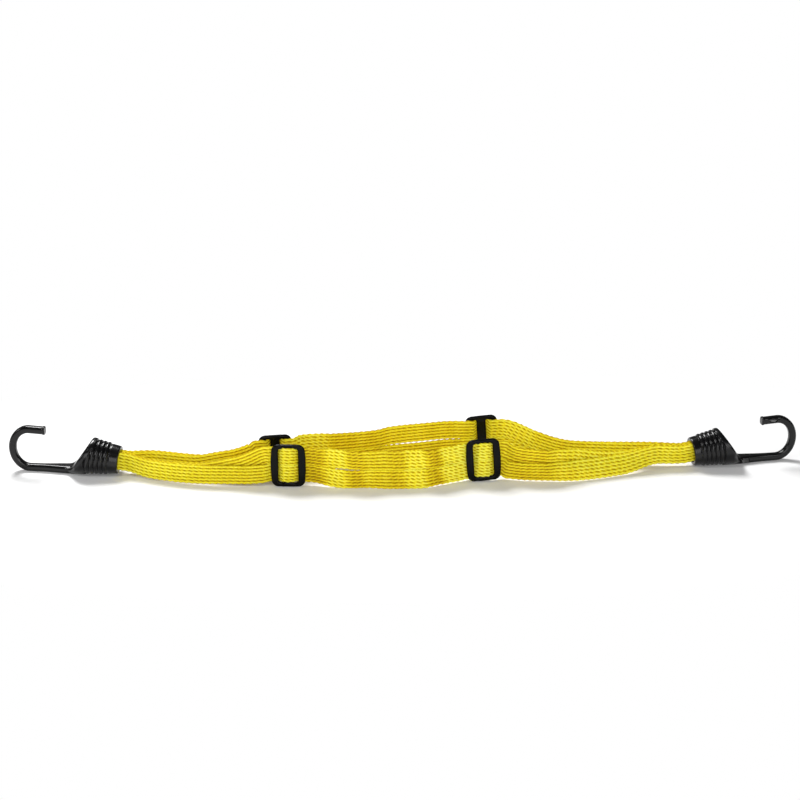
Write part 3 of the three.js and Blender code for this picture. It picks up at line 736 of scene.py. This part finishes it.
def rod_field(x, y, z):
    """The flared rod with its curl and knob, the rimmed oval on its tip and the bare pad on its neck."""
    flat, centre_x, tip_z = rod_path(x[:, 0, :], z[:, 0, :])
    flat = np.repeat(flat[:, None, :], x.shape[1], axis=1)
    end = centre_x - SHOWN_TIP
    knob = smoothstep(end + KNOB_LENGTH - x, -KNOB_EDGE, KNOB_EDGE)
    swell = TIP_SWELL * knob * (z > tip_z - ROD_HEIGHT) * (x < centre_x)
    above = z > tip_z - CURL_GAP / 2
    flare = NECK_FLARE * (1 - smoothstep(x, SOCKET_LENGTH, SOCKET_LENGTH + NECK_LENGTH)) * ~above
    face = ROD_WIDTH / 2 + flare
    rod = rounded_box([flat - ROD_HEIGHT / 2 - swell, np.abs(y) - face - swell], ROD_CORNER)
    rod = np.where(above, soft_max(rod, end - x, TIP_ROUND), rod)
    oval_x = (x - end - OVAL_PLACE) / OVAL_HALF_LENGTH
    oval_z = z - tip_z + OVAL_DROP
    oval = (np.hypot(oval_x, oval_z / OVAL_HALF_HEIGHT) - 1) * OVAL_HALF_HEIGHT
    recess = np.maximum(oval, y + ROD_WIDTH / 2 - OVAL_DEPTH - FACE_SLOPE * oval_z)
    rim = rounded_box([np.abs(oval) - RIM_HALF, np.abs(y + ROD_WIDTH / 2) - RIM_HALF], RIM_ROUND)
    rod = soft_min(soft_max(rod, -recess, RIM_BLEND), rim, RIM_BLEND)
    pad_z = z - ROD_HEIGHT / 2
    sloped = y + face - FACE_SLOPE * pad_z
    pad = rounded_box([
        np.abs(x - SOCKET_LENGTH - PAD_PLACE) - PAD_HALF_LENGTH,
        np.abs(pad_z) - PAD_HALF_HEIGHT,
        np.abs(sloped) - PAD_RISE,
    ], PAD_ROUND)
    return soft_min(rod, pad, PAD_BLEND)


BACK_REACH = {"left": 0.8, "right": 4.0}  # how far the moulding's slanted back stands out from the solid's
MOUTH_REACH = {"left": 1.8, "right": 0}  # and its mouth
GROOVE = 0.5  # how much deeper the valleys between its ribs are than the solid's
RIB_SHARPNESS = 0.7  # below 1 the valleys are narrow and the ribs full
RIB_FADE = 1.2  # run in which the skin comes back from the first and last valley
SHOWN_COLLAR = 3.6
COLLAR_EDGE = 0.35  # half the run in which the plain rim rises
SHOWN_PROUD = 0.2  # how far the rim stands over the ribs
FOOT_BLEND = 3.0
BACK_ROUND = 1.8
MOUTH_ROUND = 0.9


def socket_field(x, y, z, back_reach, mouth_reach):
    """The ribbed cone, its plain rim and its cheeks, cut by the slanted back, and the bore to take out."""
    climb = BORE_FLARE / SOCKET_LENGTH
    foot = ROD_HEIGHT - ROD_CORNER / 3
    centre = socket_axis_height(x)
    along = x + climb * (z - centre)
    bore_radius = MOUTH_BORE + climb * along
    skin = bore_radius + SOCKET_WALL
    slant = (x - SOCKET_LENGTH - back_reach) * math.cos(SLANT_ANGLE) + (z - foot) * math.sin(SLANT_ANGLE)
    rib_end = RIB_START + RIB_COUNT * RIB_PITCH
    before_ribs = smoothstep(RIB_START - along, 0, RIB_FADE)
    wave = np.abs(np.sin(np.pi * (along - RIB_START) / RIB_PITCH)) ** RIB_SHARPNESS
    wave = np.where(along < RIB_START, before_ribs, wave)
    wave = np.where(along > rib_end, smoothstep(along, rib_end, rib_end + RIB_FADE), wave)
    rim = smoothstep(slant, -SHOWN_COLLAR - COLLAR_EDGE, -SHOWN_COLLAR + COLLAR_EDGE)
    relief = RIB_HEIGHT + GROOVE
    plain = before_ribs * RIB_HEIGHT
    skin = skin + relief * wave * (1 - rim) - plain + (relief + SHOWN_PROUD) * rim - GROOVE
    cone = np.hypot(y, z - centre) - skin
    ease = smoothstep(x, CHEEK_START, SOCKET_LENGTH + CHEEK_REACH)
    start_radius = MOUTH_BORE + SOCKET_WALL + climb * CHEEK_START + RIB_HEIGHT
    half_wide = start_radius + (ROD_WIDTH / 2 - start_radius) * ease
    half_tall = start_radius + (ROD_HEIGHT / 2 - start_radius) * ease
    oval = np.sqrt((y / half_wide) ** 2 + ((z - half_tall) / half_tall) ** 2)
    cheek = (oval - 1) * np.minimum(half_wide, half_tall)
    cheek = np.maximum(cheek, x - SOCKET_LENGTH - CHEEK_REACH)
    body = np.where(along < CHEEK_START, cone, cheek)
    body = soft_max(body, soft_min(slant, z - foot, FOOT_BLEND), BACK_ROUND)
    body = soft_max(body, -along - mouth_reach, MOUTH_ROUND)
    bore = np.maximum(np.hypot(y, z - centre) - bore_radius, along - SOCKET_LENGTH + BORE_STOP)
    return body, bore


HOOK_STEP = 0.27  # of the grid on which a hook is drawn
HOOK_LOW = (-4, -16, -1.5)  # the grid's near corner
HOOK_MARGIN = (1.5, 16, 2)  # and how far its far corner lies past the curl, the middle and the top
NECK_BLEND = 0.9
BORE_ROUND = 0.5


def hook_surface(back_reach, mouth_reach):
    """The hook as points and quads, with its mouth at the origin and pointing along +X."""
    reach = SOCKET_LENGTH + SHANK_LENGTH + CURL_DEPTH + ROD_HEIGHT
    top = CURL_GAP + CURL_LIFT + 2 * ROD_HEIGHT
    low = np.array(HOOK_LOW)
    high = np.array([reach, 0, top]) + np.array(HOOK_MARGIN)
    x, y, z = grid_axes(low, high, HOOK_STEP)
    body, bore = socket_field(x, y, z, back_reach, mouth_reach)
    field = soft_min(body, rod_field(x, y, z), NECK_BLEND)
    field = soft_max(field, -bore, BORE_ROUND)
    return surface_net(field, low, HOOK_STEP)


SLIDE_STEP = 0.25  # of the grid on which a slide is drawn
SLIDE_MARGIN = 1  # from the slide to the grid's sides
SHOWN_END_BAR = 3.3  # this and the next two are more than the solid's
SHOWN_CENTRE_BAR = 7.0
SHOWN_BULGE = 1.2
WINDOW_CORNER = 2.2
FRAME_ROUND = 1.3
BAR_ROUND = 1.1
BAR_INSET = 1  # from the slide's end to the middle bar's, inside the end bar
BAR_BLEND = 1.6


def slide_surface():
    """A slide as points and quads, centred at the origin with its window across Y."""
    half = np.array([SLIDE_LENGTH / 2 + SHOWN_BULGE, FRAME_THICKNESS / 2, SLIDE_HEIGHT / 2])
    corner = half + SLIDE_MARGIN
    x, y, z = grid_axes(-corner, corner, SLIDE_STEP)
    bulge = SHOWN_BULGE * (1 - (2 * z / SLIDE_HEIGHT) ** 2)
    outer = rounded_box([np.abs(x) - SLIDE_LENGTH / 2 - bulge, np.abs(z) - SLIDE_HEIGHT / 2], FRAME_CORNER)
    window = rounded_box([
        np.abs(x) - WINDOW_LENGTH / 2,
        np.abs(z) - SLIDE_HEIGHT / 2 + SHOWN_END_BAR,
    ], WINDOW_CORNER)
    ring = rounded_box([np.maximum(outer, -window), np.abs(y) - FRAME_THICKNESS / 2], FRAME_ROUND)
    bar = rounded_box([np.abs(x) - SHOWN_CENTRE_BAR / 2, np.abs(y) - CENTRE_BAR_THICKNESS / 2], BAR_ROUND)
    bar = np.maximum(bar, np.abs(z) - SLIDE_HEIGHT / 2 + BAR_INSET)
    return surface_net(soft_min(ring, bar, BAR_BLEND), -corner, SLIDE_STEP)


def turned(points, angle, place):
    """Points turned about Z and moved to a place."""
    c, s = math.cos(angle), math.sin(angle)
    return points @ np.array([[c, s, 0], [-s, c, 0], [0, 0, 1]]) + np.array(place)


def rolled(points, angle):
    """Points turned about Y and lifted back to the height they stood at."""
    c, s = math.cos(angle), math.sin(angle)
    askew = points @ np.array([[c, 0, s], [0, 1, 0], [-s, 0, c]])
    askew[:, 2] += points[:, 2].min() - askew[:, 2].min()
    return askew


def make_hooks():
    for side, (x, angle) in HOOKS.items():
        points, faces = hook_surface(BACK_REACH[side], MOUTH_REACH[side])
        hook = new_object(f"{side}_hook_moulding", turned(points, angle, (x, 0, 0)), faces)
        hook.data.materials.append(HOOK_PLASTIC)
        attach(hook, f"{side}_end")
        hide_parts(f"{side}_hook")


def make_slides():
    points, faces = slide_surface()
    for pair_name, pair in PAIRS.items():
        for side, (x, y, yaw) in pair["slides"].items():
            name = f"{pair_name}_{side}_slide"
            place = (x, y, SLIDE_HEIGHT / 2)
            askew = rolled(points, math.radians(SLIDE_ROLL.get(f"{pair_name}_{side}", 0)))
            slide = new_object(f"{name}_moulding", turned(askew, math.radians(yaw), place), faces)
            slide.data.materials.append(SLIDE_PLASTIC)
            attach(slide, f"{name}_body")
            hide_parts(name)


def finish_rings():
    for side in HOOKS:
        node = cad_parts[f"{side}_crimp_ring"]
        node.data.materials.clear()
        node.data.materials.append(STEEL)


ELASTIC = elastic_material()
HOOK_PLASTIC = plastic_material("hook_plastic", roughness=0.22, shine=0.34)
SLIDE_PLASTIC = plastic_material("slide_plastic", roughness=0.24, shine=0.1)
STEEL = steel_material()

for pair_name, pair in PAIRS.items():
    for level in (-1, 1):
        make_strap(pair_name, pair, level)
make_slides()
make_hooks()
finish_rings()


# Camera, floor and light, in metres and watts

CAMERA_ELEVATION = math.radians(20)
CAMERA_AZIMUTH = math.radians(2.2)
CAMERA_DISTANCE = 1.5
CAMERA_TARGET = Vector((-0.0047, -0.0023, 0.059))
PICTURE_WIDTH = 0.597  # what the picture spans at the target
FLOOR_REACH = 6.0
FLOOR_STRETCH = (1.0, 2.2, 1.0)  # makes the shaded part of the floor an oval
FADE_START = 0.30  # half the length of the oval inside which the shadow shows in full
FADE_END = 0.50  # and of the one outside which the floor is paper white
FLOOR_GLOW = 0.05  # share of paper white inside the first
AMBIENT = 0.09
LAMPS = [  # name, place, size and power
    ("back_key", (-0.44, 0.88, 1.22), 0.62, 30),
    ("front_spark", (-0.45, -0.75, 1.25), 0.12, 2),
    ("left_strip", (-1.3, -0.3, 0.62), 0.25, 4),
    ("right_panel", (0.95, -1.22, 0.78), 0.5, 5),
    ("front_softbox", (0.05, -1.6, 0.42), 0.9, 9),
]


def make_camera():
    data = bpy.data.cameras.new("camera")
    data.sensor_width = 36
    data.lens = data.sensor_width * CAMERA_DISTANCE / PICTURE_WIDTH
    camera = bpy.data.objects.new("camera", data)
    flat = math.cos(CAMERA_ELEVATION)
    aside, ahead = math.sin(CAMERA_AZIMUTH) * flat, math.cos(CAMERA_AZIMUTH) * flat
    back = Vector((-aside, -ahead, math.sin(CAMERA_ELEVATION)))
    camera.location = CAMERA_TARGET + back * CAMERA_DISTANCE
    camera.rotation_euler = (-back).to_track_quat("-Z", "Y").to_euler()
    bpy.context.collection.objects.link(camera)
    bpy.context.scene.camera = camera


def floor_material():
    """A white floor that takes the object's soft shadow and is seen as paper white further away."""
    shader = Shader("floor_white")
    tree = shader.tree
    shader.set(Base_Color=(0.96, 0.96, 0.96, 1), Roughness=0.9)
    shader.surface.inputs["Specular IOR Level"].default_value = 0.1
    place = shader.node("ShaderNodeTexCoord").outputs["Object"]
    oval = shader.node("ShaderNodeVectorMath", {0: place, 1: FLOOR_STRETCH}, operation="MULTIPLY")
    away = shader.node("ShaderNodeVectorMath", {0: oval.outputs[0]}, operation="LENGTH").outputs["Value"]
    fade = shader.node("ShaderNodeMapRange", {
        "Value": away, "From Min": FADE_START, "From Max": FADE_END, "To Min": FLOOR_GLOW, "To Max": 1.0,
    }).outputs["Result"]
    paths = shader.node("ShaderNodeLightPath")
    seen = shader.math("MAXIMUM", paths.outputs["Is Camera Ray"], paths.outputs["Is Glossy Ray"])
    seen = shader.math("MAXIMUM", seen, paths.outputs["Is Transmission Ray"])
    white = shader.node("ShaderNodeEmission", {"Color": (1, 1, 1, 1), "Strength": 1.0})
    mixed = shader.node("ShaderNodeMixShader", {
        "Fac": shader.math("MULTIPLY", seen, fade), 1: shader.surface.outputs[0], 2: white.outputs[0],
    })
    tree.links.new(mixed.outputs[0], tree.nodes["Material Output"].inputs["Surface"])
    return shader.material


def make_floor():
    corners = [(x * FLOOR_REACH, y * FLOOR_REACH, 0) for x, y in ((-1, -1), (1, -1), (1, 1), (-1, 1))]
    mesh = bpy.data.meshes.new("floor")
    mesh.from_pydata(corners, [], [(0, 1, 2, 3)])
    floor = bpy.data.objects.new("floor", mesh)
    floor.location.z = cad_low.z
    mesh.materials.append(floor_material())
    bpy.context.collection.objects.link(floor)


def make_lamp(name, place, size, power):
    """A square lamp that faces the middle of the cord."""
    data = bpy.data.lights.new(name, "AREA")
    data.size = size
    data.energy = power
    lamp = bpy.data.objects.new(name, data)
    lamp.location = place
    lamp.rotation_euler = (-Vector(place)).to_track_quat("-Z", "Y").to_euler()
    bpy.context.collection.objects.link(lamp)


def make_world():
    """A white backdrop for the camera, and a faint even light for everything else."""
    world = bpy.data.worlds.new("studio")
    bpy.context.scene.world = world
    world.use_nodes = True
    tree = world.node_tree
    paths = tree.nodes.new("ShaderNodeLightPath")
    white = tree.nodes.new("ShaderNodeBackground")
    white.inputs["Strength"].default_value = 1.0
    ambient = tree.nodes["Background"]
    ambient.inputs["Color"].default_value = (1, 1, 1, 1)
    ambient.inputs["Strength"].default_value = AMBIENT
    mix = tree.nodes.new("ShaderNodeMixShader")
    tree.links.new(paths.outputs["Is Camera Ray"], mix.inputs["Fac"])
    tree.links.new(ambient.outputs[0], mix.inputs[1])
    tree.links.new(white.outputs[0], mix.inputs[2])
    tree.links.new(mix.outputs[0], tree.nodes["World Output"].inputs["Surface"])


make_camera()
make_floor()
make_world()
for lamp in LAMPS:
    make_lamp(*lamp)
bpy.context.scene.view_settings.view_transform = "Standard"
